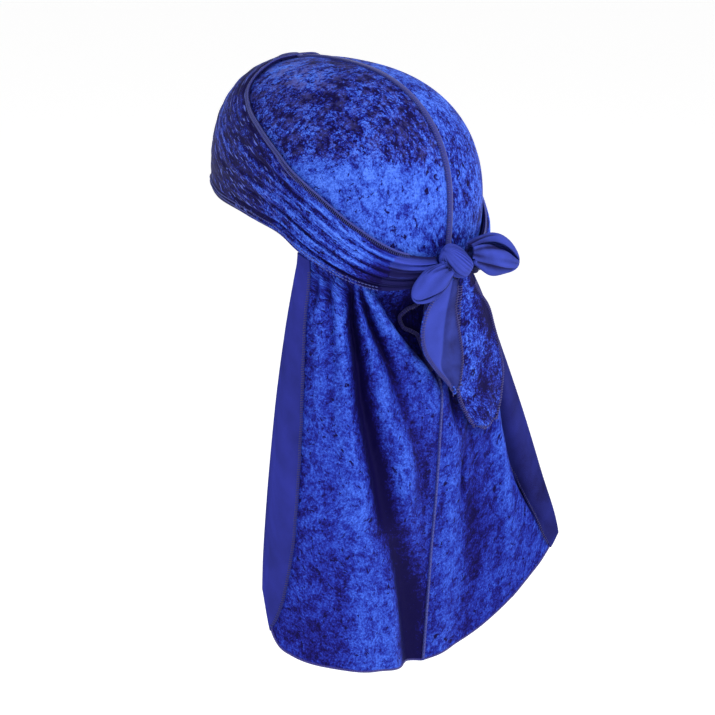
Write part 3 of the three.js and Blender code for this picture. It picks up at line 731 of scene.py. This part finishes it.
# The bend of one stitch: share along, height, thickness.
STITCH = [(0, -0.35, 0.5), (0.18, 0.2, 0.9), (0.5, 0.42, 1), (0.82, 0.2, 0.9), (1, -0.35, 0.5)]


def stitches(name, rows, material, thick):
    """Threads as small bent tubes, all one mesh. Each row of them: the two ends and outward."""
    starts, ends, outward = (np.concatenate(part) for part in zip(*rows))
    outward = unit(outward)
    count, sides = len(starts), 5
    aside = unit(np.cross(unit(ends - starts), outward))
    sine, cosine = round_turns(sides)
    rings = []
    for at, high, fat in STITCH:
        middle = starts + (ends - starts) * at + outward * high * thick * 2
        bulge = aside[:, None] * cosine + outward[:, None] * sine
        rings.append(middle[:, None] + bulge * thick * fat)
    points = np.stack(rings, 1).reshape(count, -1, 3)
    first = np.arange(count)[:, None, None] * len(STITCH) * sides
    faces = (grid_faces(len(STITCH), sides, 1) + first).reshape(-1, 4)
    return make_object(name, points.reshape(-1, 3), faces, [material])


# ---------- materials
def node_material(name):
    material = bpy.data.materials.new(name)
    material.use_nodes = True
    material.node_tree.nodes.clear()
    return material, Nodes(material.node_tree)


class Nodes:
    """Short ways to add nodes to one material."""

    def __init__(self, tree):
        self.tree = tree

    def add(self, kind, sockets, **settings):
        """A node, with what goes into its sockets: another node's output, or a value."""
        node = self.tree.nodes.new(kind)
        for key, value in settings.items():
            setattr(node, key, value)
        for key, value in sockets.items():
            if isinstance(value, bpy.types.NodeSocket):
                self.tree.links.new(value, node.inputs[key])
            else:
                node.inputs[key].default_value = value
        return node

    def math(self, operation, a, b, clamp=False):
        node = self.add("ShaderNodeMath", {0: a, 1: b}, operation=operation, use_clamp=clamp)
        return node.outputs[0]

    def times(self, a, b):
        return self.math("MULTIPLY", a, b)

    def total(self, parts):
        """A sum of fields, each times its weight."""
        whole, *others = [self.times(field, weight) for field, weight in parts]
        for part in others:
            whole = self.math("ADD", whole, part)
        return whole

    def noise(self, vector, scale, detail, rough, distortion=0.0):
        sockets = {"Vector": vector, "Scale": scale, "Detail": detail, "Roughness": rough}
        sockets["Distortion"] = distortion
        return self.add("ShaderNodeTexNoise", sockets).outputs["Fac"]

    def ribs(self, vector, direction, count, distortion):
        """Ribs or threads side by side, so many in a metre."""
        sockets = {"Vector": vector, "Scale": count / 3.14, "Distortion": distortion, "Detail": 1}
        return self.add("ShaderNodeTexWave", sockets, bands_direction=direction).outputs["Fac"]

    def crisp(self, field, middle, steep):
        """Turns a soft field into patches with firm edges, from 0 to 1."""
        low, high = middle - 0.5 / steep, middle + 0.5 / steep
        sockets = {"Value": field, "From Min": low, "From Max": high}
        node = self.add("ShaderNodeMapRange", sockets, interpolation_type="SMOOTHSTEP")
        return node.outputs["Result"]

    def ramp(self, field, stops):
        node = self.add("ShaderNodeValToRGB", {"Fac": field})
        ramp = node.color_ramp
        while len(ramp.elements) < len(stops):
            ramp.elements.new(0.5)
        for element, (at, colour) in zip(ramp.elements, stops):
            element.position = at
            element.color = (*colour, 1)
        return node.outputs["Color"]

    def mix(self, share, under, over):
        sockets = {0: share, 6: under, 7: (*over, 1)}
        return self.add("ShaderNodeMix", sockets, data_type="RGBA").outputs[2]

    def bump(self, height, strength, distance, **normal):
        sockets = {"Height": height, "Strength": strength, "Distance": distance, **normal}
        return self.add("ShaderNodeBump", sockets).outputs["Normal"]

    def attribute(self, name):
        return self.add("ShaderNodeAttribute", {}, attribute_name=name).outputs["Fac"]

    def coords(self, along, across, offset=(0, 0, 0)):
        """Lengths along and across the cloth, stretched and moved."""
        uv = self.add("ShaderNodeUVMap", {}, uv_map="UVMap").outputs["UV"]
        sockets = {"Vector": uv, "Scale": (along, across, 1), "Location": offset}
        return self.add("ShaderNodeMapping", sockets).outputs["Vector"]

    def principled(self, **values):
        sockets = {key.replace("_", " "): value for key, value in values.items()}
        surface = self.add("ShaderNodeBsdfPrincipled", sockets).outputs["BSDF"]
        self.add("ShaderNodeOutputMaterial", {"Surface": surface})


CRUSHED = {  # noise of the velvet: patches in a metre, detail, roughness, distortion
    "large": (26, 2, 0.5, 0.2),
    "blotch": (52, 4, 0.6, 0.5),
    "patch": (110, 5, 0.70, 0.25),
    "mottle": (150, 4, 0.7, 0.3),
    "fleck": (210, 4, 0.7, 0.6),
    "small": (300, 3, 0.70, 0.3),
    "grain": (660, 2, 0.6, 0),
    "dust": (1300, 1, 0.5, 0),
}
FLECK_OFFSET = (4.1, 2.3, 0)
# The ramp's lowest stops colour the dark flecks and the painted shade, its highest the painted
# highlights.
VELVET = [  # tone, colour
    (0.22, (0.0045, 0.0026, 0.050)),
    (0.36, (0.0090, 0.0085, 0.165)),
    (0.50, (0.0160, 0.033, 0.35)),
    (0.72, (0.048, 0.125, 0.68)),
    (0.92, (0.090, 0.210, 0.88)),
]
# The colours of the painted greyish sheen and of the painted glints.
PAINTED_SHEEN_COLOUR = (0.095, 0.100, 0.37)
PAINTED_GLINT_COLOUR = (0.12, 0.17, 0.70)
SHEEN_TINT = (0.2, 0.3, 1.0, 1)
PILE_MIDDLE, TONE_MIDDLE = 0.605, 0.35  # the mean of the pile's noise, and the tone it gives


def velvet_material(name, stretch, offset, painted_glints=0.0):
    """Crushed pile: patches that lie different ways, some lit and some dark. The tone attribute,
    which carries painted shade and painted highlights, moves them up and down the ramp, busy
    makes them starker, and a painted greyish sheen greys them, with painted glints where asked."""
    material, n = node_material(name)
    uv, plain = n.coords(*stretch, offset), n.coords(1, 1, offset)
    vectors = {"fleck": n.coords(*stretch, FLECK_OFFSET), "grain": plain, "dust": plain}
    field = {key: n.noise(vectors.get(key, uv), *shape) for key, shape in CRUSHED.items()}
    pile = n.total([
        (n.crisp(field["patch"], 0.47, 6.0), 0.15),
        (n.crisp(field["small"], 0.48, 4.5), 0.13),
        (field["grain"], 0.60),
        (field["dust"], 0.35),
        (n.crisp(field["fleck"], 0.625, 18), -0.42),
        (n.crisp(field["fleck"], 0.36, -16), 0.08),
    ])
    busy, painted_sheen = n.attribute("busy"), n.attribute("painted_sheen")
    blotch = n.math("SUBTRACT", n.crisp(field["blotch"], 0.5, 5), 0.5)
    tone = n.total([
        (n.times(n.math("SUBTRACT", pile, PILE_MIDDLE), n.math("ADD", busy, 1.0)), 1.0),
        (field["large"], 0.30),
        (n.times(blotch, n.math("MAXIMUM", busy, 0.0)), 0.19),
        (n.attribute("tone"), 1.0),
    ])
    colour = n.ramp(n.math("ADD", tone, TONE_MIDDLE), VELVET)
    # A painted greyish sheen, mottled, mixed in as far as its attribute asks.
    mottle = n.times(n.crisp(field["mottle"], 0.53, 7), painted_sheen)
    colour = n.mix(n.times(mottle, 0.85), colour, PAINTED_SHEEN_COLOUR)
    if painted_glints:
        # Painted glints: short light streaks along the cloth, where the painted sheen is.
        streak = n.crisp(n.noise(n.coords(95, 620, offset), 1.0, 1, 0.5, 0.3), 0.66, 14)
        streak = n.math("MULTIPLY", n.times(streak, painted_sheen), painted_glints, clamp=True)
        colour = n.mix(streak, colour, PAINTED_GLINT_COLOUR)
    nap = n.bump(field["patch"], 0.35, 0.0012)
    nap = n.bump(field["small"], 0.4, 0.0006, Normal=nap)
    nap = n.bump(field["grain"], 0.5, 0.0003, Normal=nap)
    n.principled(
        Base_Color=colour,
        Roughness=n.math("ADD", n.times(field["patch"], -0.25), 0.72),
        Normal=nap,
        Specular_IOR_Level=0.05,
        Sheen_Weight=0.10,
        Sheen_Roughness=0.3,
        Sheen_Tint=SHEEN_TINT,
    )
    return material


def reverse_material(name, colour):
    """The smooth back of the cloth: fine knit ribs, a little uneven."""
    material, n = node_material(name)
    uv = n.coords(1, 1)
    grain = n.noise(uv, 2500, 2, 0.6)
    tone = n.math("SUBTRACT", n.total([(n.noise(uv, 60, 3, 0.5), 0.5), (grain, 0.55)]), 0.10)
    # The tone attribute adds painted shade and painted highlights; the deep stop is the colour of
    # the painted shade.
    tone = n.math("ADD", tone, n.attribute("tone"))
    deep = tuple(c * share for c, share in zip(colour, (0.22, 0.13, 0.20)))
    low = tuple(c * 0.72 for c in colour)
    high = tuple(c * 1.28 for c in colour)
    knit = n.bump(n.ribs(uv, "Y", 1400.0, 1.5), 0.25, 0.0002)
    n.principled(
        Base_Color=n.ramp(tone, [(0.0, deep), (0.25, low), (0.60, high)]),
        Roughness=0.78,
        Normal=n.bump(grain, 0.3, 0.0002, Normal=knit),
        Specular_IOR_Level=0.1,
        Sheen_Weight=0.05,
        Sheen_Roughness=0.5,
        Sheen_Tint=SHEEN_TINT,
    )
    return material


def thread_material(name, colour, count):
    """Close overlock threads across a narrow edge, so many in a metre."""
    material, n = node_material(name)
    uv = n.coords(1, 0.3)
    tone = n.total([(n.ribs(uv, "X", count, 2.0), 0.7), (n.noise(uv, 1800, 2, 0.6), 0.3)])
    n.principled(
        Base_Color=n.ramp(tone, [(0.15, tuple(c * 0.4 for c in colour)), (0.75, colour)]),
        Roughness=0.65,
        Normal=n.bump(tone, 0.7, 0.0004),
        Specular_IOR_Level=0.3,
        Sheen_Weight=0.2,
    )
    return material


def each(make, name, **rows):
    """One material for each row."""
    return {key: make(name.format(key), *values) for key, values in rows.items()}


velvet = each(  # stretch along and across, and offset of the pattern
    velvet_material,
    "velvet_{}",
    panel_left=((1, 1), (0.31, 0.12, 0)),
    panel_right=((1, 1), (0.83, 0.57, 0)),
    # The band's last value is the strength of its painted glints.
    band=((0.5, 1.4), (1.7, 0.4, 0), 11.0),
    tail=((0.8, 1.1), (2.9, 0.4, 0)),
)
reverse = each(
    reverse_material,
    "reverse_{}",
    cloth=[(0.030, 0.045, 0.33)],
    strip=[(0.021, 0.026, 0.24)],
    bow=[(0.036, 0.055, 0.37)],
)
thread = each(
    thread_material,
    "{}_thread",
    seam=((0.020, 0.030, 0.32), 1200),
    hem=((0.040, 0.034, 0.27), 900),
    tail=((0.085, 0.075, 0.50), 1500),
    light=((0.055, 0.072, 0.46), 1500),
    curl=((0.052, 0.044, 0.33), 1200),
    bright=((0.11, 0.15, 0.78), 1500),
)


# ---------- pieces
FLAT = {  # the piece as cut: width, length, area, in metres and square metres
    **dict.fromkeys(("panel_left", "panel_right"), (0.155, 0.470, 0.0500)),
    **dict.fromkeys(("band_left", "band_right"), (0.120, 0.270, 0.0170)),
    **dict.fromkeys(("side_hem_left", "side_hem_right"), (0.030, 0.235, 0.0042)),
    "bow_loop_left": (0.046, 0.044, 0.0012),
    "bow_loop_right": (0.048, 0.060, 0.0020),
    "tail_left": (0.036, 0.085, 0.0020),
    "tail_right": (0.046, 0.115, 0.0037),
}


def add_sheet(node, grid, cloths, flip, paint, slot, held, rests_on, finish=None):
    """A sheet of cloth that stands for a CAD node."""
    obj = sheet_object(f"{node}_cloth", grid, cloths, flip, paint, finish)
    finish_piece(obj, slot, node)


NAMES = {1: "left", -1: "right"}
STITCHED = {  # thickness, thread
    "cross": (0.26, "light"),
    "run": (0.36, "bright"),
    "hem": (0.30, "hem"),
    "tail": (0.40, "tail"),
}
threads = {key: [] for key in STITCHED}


def add_panel(side, word):
    grid, paint = panel_grid(side)
    cloths = [velvet[f"panel_{word}"], reverse["cloth"]]
    rests_on = [f"band_{word}_cloth"]
    add_sheet(f"panel_{word}", grid, cloths, side > 0, paint, "velvet", "hung", rests_on)


def add_band(side, word):
    """The band, whose end near the knot is the smooth strap."""
    along, across = net(200, 105)
    paint, strap = band_paint(side, along, across)
    cloths = [velvet["band"], reverse["cloth"], reverse["bow"], reverse["cloth"]]
    finish = np.where(strap[:-1, :-1] > 0.5, 2, 0)
    grid = band_at(side, along, across, 0)
    under = [f"panel_{word}_cloth"]
    add_sheet(f"band_{word}", grid, cloths, side > 0, paint, "velvet", "stretched", under, finish)


def add_band_threads(side, word):
    """Two stitched cords along the band's upper edge, and two rows of stitches below."""
    along = np.linspace(0, 0.90, 300)
    line = band_at(side, along, 1.5 / band_width(side, along, 0), 0)
    outward = unit(line - CENTRE)
    tied = smooth(along, 0.45, 0.62)
    spread, thick = lerp(0.72, 1.5, tied), lerp(0.68, 0.62, tied)
    for sign, edge in ((1, "upper"), (-1, "lower")):
        cord_line = line + side_of(line, outward) * (spread * sign)[:, None]
        name = f"band_cord_{edge}_{word}"
        add_tube(name, cord_line, outward, thick, 0.8 * thick, thread["light"], 8)
    crossing("cross", line, outward, 1.25, 1.7, 0.3, lift=0.45)
    along = np.linspace(0, 0.86, 300)
    for inset in (2.6, 4.6):
        line = band_at(side, along, 1 - inset / band_width(side, along, 1), 0.15)
        running(line, unit(line - CENTRE), 2.2, 0.78, lift=0.15)


def add_side_hem(side, word):
    """The turned edge of the cape, and the overlock that holds it."""
    flip = side > 0
    down, over = net(200, 26, start=0.039)
    width = track(SIDE_HEM_ROWS, 1)(cape_drop(side, down, 1))
    share = lerp(1 - width / CAPE_HALF, 1, over)
    under = cape_at(side, down, share, CLOTH)
    grid = under + cloth_normal(under, flip) * (CLOTH + 1.3 * GAP)
    # The right strip is painted darker as painted shade, with a slight wave along both.
    tone = (-0.04 if side > 0 else -0.26) + 0.05 * np.sin(2 * np.pi * down * 2 + over)
    held = "reverse", "folded", [f"panel_{word}_cloth"]
    add_sheet(f"side_hem_{word}", grid, [reverse["strip"]], flip, {"tone": tone}, *held)
    inner, outward = grid[6:-4, 0], cloth_normal(grid, flip)[6:-4, 0]
    crossing("hem", inner, outward, 1.5, 1.1, 0.3, aside=0.5)


def add_bottom_hem(side, word):
    """The rolled overlock along the bottom edge."""
    across = np.linspace(0, 1, 260)
    above, bottom = (cape_at(side, 0 * across + down, across, CLOTH / 2) for down in (0.99, 1))
    outward = unit(bottom - above)
    add_tube(f"cape_hem_{word}", bottom, outward, 1.1, 0.9, thread["hem"], 10, lift=-0.5)


def add_loop(side, word):
    """A loop of the bow, one strap bent into a flat pouch."""
    x, y, z, high, deep, slit, gap = by_share(LOOPS[side])
    along, across = net(90, 120)
    bend = slit(along) + lerp(gap(along), 360 - gap(along), across)
    turn = np.radians(bend)
    near = np.exp(-4.5 * along)
    crease = 1 + (0.10 * np.sin(4 * turn + 5 * along + side) + 0.05 * np.sin(11 * turn + 2)) * near
    crease += 0.025 * np.sin(5 * turn + 9 * along) * np.sin(np.pi * along)
    for place, width, depth, start, stop in LOOP_CREASES[side]:
        live = smooth(along, start - 0.08, start + 0.08) * smooth(stop + 0.08 - along, 0, 0.16)
        crease -= depth * bell(apart(bend, place), width) * live
    lips = bell(np.minimum(across, 1 - across), 0.035)
    shape = crease - 0.10 * lips * np.sin(np.pi * along)
    bulge = bell(apart(bend, 262), 32) * bell(along - 0.42, 0.24) * (side < 0)
    grid = outside_knot(np.stack([
        x(along),
        y(along) + deep(along) * np.cos(turn) * shape - 1.5 * bulge,
        z(along) + high(along) * np.sin(turn) * shape - 3.0 * bulge,
    ], -1))
    # Painted shade near the knot, in the creases, at the lips of the opening and in the bulge, and
    # painted light where the creases stand out.
    tone = 0.03 - 0.22 * near + 2.4 * (crease - 1) - 0.14 * lips - 0.10 * bulge
    held = "reverse", "folded", ["bow_knot_cloth"]
    add_sheet(f"bow_loop_{word}", grid, [reverse["bow"]], side > 0, {"tone": tone}, *held)


def add_tail(side, word):
    """A hanging end of a tie, folded along a crease, with overlocked edges."""
    rows = [(-r[0], *r[1:]) for r in TAILS[side]]
    first, last = rows[0][0], rows[-1][0]
    drop, across = net(150, 60, first, last)
    lx, ly, cx, cy, rx, ry = (column(drop) for column in tracks(rows, *range(1, 7)))
    s = np.abs(2 * across - 1)
    px = lerp(cx, np.where(across < 0.5, lx, rx), s)
    py = lerp(cy, np.where(across < 0.5, ly, ry), s)
    py = py + 0.35 * np.sin(drop / 9 + across * 5) * np.sin(np.pi * across) - 0.8 * bell(s, 0.16)
    round_end = 5 * smooth(drop, last - 9, last) ** 2 * s**2
    grid = outside_knot(np.stack([px, py + CLOTH, -drop + round_end], -1))
    if side > 0:
        cloths, slot = [reverse["bow"], velvet["tail"]], "reverse"
        # The facet that faces away is painted in shade.
        tone = lerp(0.01, -0.28, smooth(across, 0.48, 0.53))
    else:
        cloths, slot = [velvet["tail"], reverse["bow"]], "velvet"
        # Lighter down its middle, darker to the right near the top and in two patches lower down.
        tone = 0.12 * bell(across - 0.35, 0.2) - 0.18
        tone -= 0.30 * bell(across - 0.85, 0.2) * smooth(drop, 195, 150)
        tone -= 0.22 * bell(across - 0.55, 0.3) * bell(drop - 205, 10)
        tone -= 0.16 * bell(across - 0.30, 0.2) * bell(drop - 178, 7)
    # Darker along the edges.
    from_edge = np.minimum(np.abs(px - lx), np.abs(px - rx))
    paint = {"tone": tone - 0.16 * bell(from_edge, 2.6), "busy": 0.7}
    add_sheet(f"tail_{word}", grid, cloths, False, paint, slot, "hung", ["bow_knot_cloth"])
    edge, outward = (
        np.concatenate([part[12:, 0], part[-1, 1:-1], part[12:, -1][::-1]])
        for part in (grid, cloth_normal(grid, False))
    )
    crossing("tail", edge, outward, 1.75, 1.35, 0.3, aside=-1.3, lift=0.1)


def add_knot():
    """The knot: a strap wrapped slantwise round the others."""
    up, share = net(90, 301, 0.015, 0.985)
    turn = 2 * np.pi * share
    level = np.sin(np.pi * up) ** 0.75
    bend = 360 * share + 16 * np.sin(np.pi * up) - 8
    wrap = 0.05 * np.cos(np.radians(3 * bend) + 0.9) - 0.04
    wrap += 0.03 * np.cos(np.radians(5 * bend) + 2)
    for place, depth, width in KNOT_CREASES:
        wrap -= depth * bell(apart(bend, place), width)
    wrap *= level
    local = np.stack([
        level * np.cos(turn) * (1 + wrap),
        level * np.sin(turn) * (1 + wrap),
        np.cos(np.pi * up) * (0.96 + 0.05 * np.cos(2 * turn)),
    ], -1)
    grid = (KNOT_HALF * local) @ LEAN.T + KNOT_CENTRE
    # Painted shade in the creases and toward the ends where the knot tucks in, painted light on the
    # raised wraps.
    tone = 2.4 * wrap - 0.15 * (1 - level) + 0.15
    knot = sheet_object("bow_knot_cloth", grid, [reverse["bow"]], False, {"tone": tone}, wall=0)
    close_up(knot.data)
    finish_piece(knot, "reverse", "bow_knot")


def add_curl():
    """The stitched edge that curls up under the knot."""
    at = np.linspace(CURL[0][0], CURL[-1][0], 90)
    drop, share = (column(at) for column in tracks(CURL, 1, 2))
    top, bottom = cape_drop(1, 0, share), cape_drop(1, 1, share)
    line = cape_at(1, (drop - top) / (bottom - top), share, CLOTH + 1.0)
    outward = np.broadcast_to(unit(np.array([0.3, 0.95, 0])), line.shape)
    add_tube("nape_curl", line, outward, 1.25, 1.0, thread["curl"], 12)
    crossing("tail", line, outward, 1.7, 1.3, 0.2, lift=1.1)


def add_center_seam():
    """The centre seam, up over the band, over the crown and down the cape."""
    above = CLOTH + 0.3
    across = np.linspace(1, 0, 60)
    over_band = band_at(1, 0 * across, across, 0.4)
    along = np.linspace(0.03, 1, 140)
    over_crown = crown_point(1, along, 0 * along, above)
    down = np.linspace(0, 0.999, 260)
    left, right = (cape_at(side, down, 0 * down, above) for side in NAMES)
    over_cape = np.where(left[:, 1:2] > right[:, 1:2], left, right)
    line = np.concatenate([over_band, over_crown, over_cape])
    line[:, 0] = 0
    # The step down from the band's edge to the crown is eased.
    step = slice(len(over_band) - 8, len(over_band) + 8)
    eased = [np.convolve(line[:, c], np.ones(5) / 5, mode="same") for c in range(3)]
    line[step] = np.stack(eased, -1)[step]
    outward = unit(line - CENTRE)
    outward[-len(down):] = (0, 1, 0)
    worn = np.ones(len(line) - len(down))
    slim = smooth(down, 0.05, 0.3)
    half = np.concatenate([2.3 * worn, lerp(2.4, 1.0, slim)])
    high = np.concatenate([1.1 * worn, lerp(1.1, 0.8, slim)])
    add_tube("center_seam_ridge", line, outward, half, high, thread["seam"], 14, "center_seam")
    from_centre = unit(over_crown - CENTRE)
    crossing("cross", over_crown, from_centre, 1.5, 1.0, 0.1, aside=1.9, lift=0.75)
    behind = 0 * over_cape + (0, 1, 0)
    running(over_cape, behind, 2.4, 0.7, aside=1.1, lift=0.6)


for side, word in NAMES.items():
    for add in (add_panel, add_band, add_band_threads, add_side_hem, add_bottom_hem):
        add(side, word)
for add in (add_loop, add_tail):
    for side, word in NAMES.items():
        add(side, word)
add_knot()
add_curl()
add_center_seam()
for key, (thick, kind) in STITCHED.items():
    finish_piece(stitches(f"{key}_stitches", threads[key], thread[kind], thick), "thread")

# ---------- camera, light and floor
AZIMUTH, ELEVATION, DISTANCE = 136, 15.6, 1.5
LENS, SENSOR = 116.3, 36
TARGET = Vector((0, 0.017, -0.191))
LIGHTS = {  # place, size, power, colour
    "key": ((0.2, 1.6, 1.2), 0.8, 20, (1, 1, 1)),
    "fill": ((1.9, 0.4, 0.3), 1.2, 5, (1, 1, 1)),
    "rim": ((-1.4, 0.7, 0.8), 0.8, 7, (0.9, 0.95, 1.0)),
}
SKY = [(0.0, (1, 1, 1)), (0.10, (1, 1, 1)), (0.40, (0.56, 0.56, 0.56))]  # height, colour


def aim(name, data, place):
    """A camera or light at a place, turned to the durag."""
    obj = bpy.data.objects.new(name, data)
    bpy.context.scene.collection.objects.link(obj)
    obj.location = place
    obj.rotation_euler = (TARGET - Vector(place)).to_track_quat("-Z", "Y").to_euler()
    return obj


camera = bpy.data.cameras.new("camera")
camera.lens, camera.sensor_width = LENS, SENSOR
eye = TARGET + Vector(direction_at(1, AZIMUTH, ELEVATION)) * DISTANCE
bpy.context.scene.camera = aim("camera", camera, eye)

for name, (place, size, power, colour) in LIGHTS.items():
    light = bpy.data.lights.new(name, "AREA")
    light.shape, light.size, light.energy, light.color = "DISK", size, power, colour
    aim(name, light, place)

world = bpy.data.worlds.new("studio")
bpy.context.scene.world = world
world.use_nodes = True
sky = Nodes(world.node_tree)
direction = sky.add("ShaderNodeTexCoord", {}).outputs["Generated"]
height = sky.add("ShaderNodeSeparateXYZ", {0: direction}).outputs["Z"]
sky.tree.links.new(sky.ramp(height, SKY), sky.tree.nodes["Background"].inputs["Color"])

bpy.ops.mesh.primitive_plane_add(size=60, location=(0, 0, -0.62))
floor = bpy.context.object
floor.name = "floor"
paint, n = node_material("floor_paint")
n.principled(
    Base_Color=(0.93, 0.93, 0.93, 1),
    Roughness=0.9,
    Specular_IOR_Level=0.1,
    Emission_Color=(1, 1, 1, 1),
    Emission_Strength=0.42,
)
floor.data.materials.append(paint)
bpy.context.scene.view_settings.view_transform = "Standard"
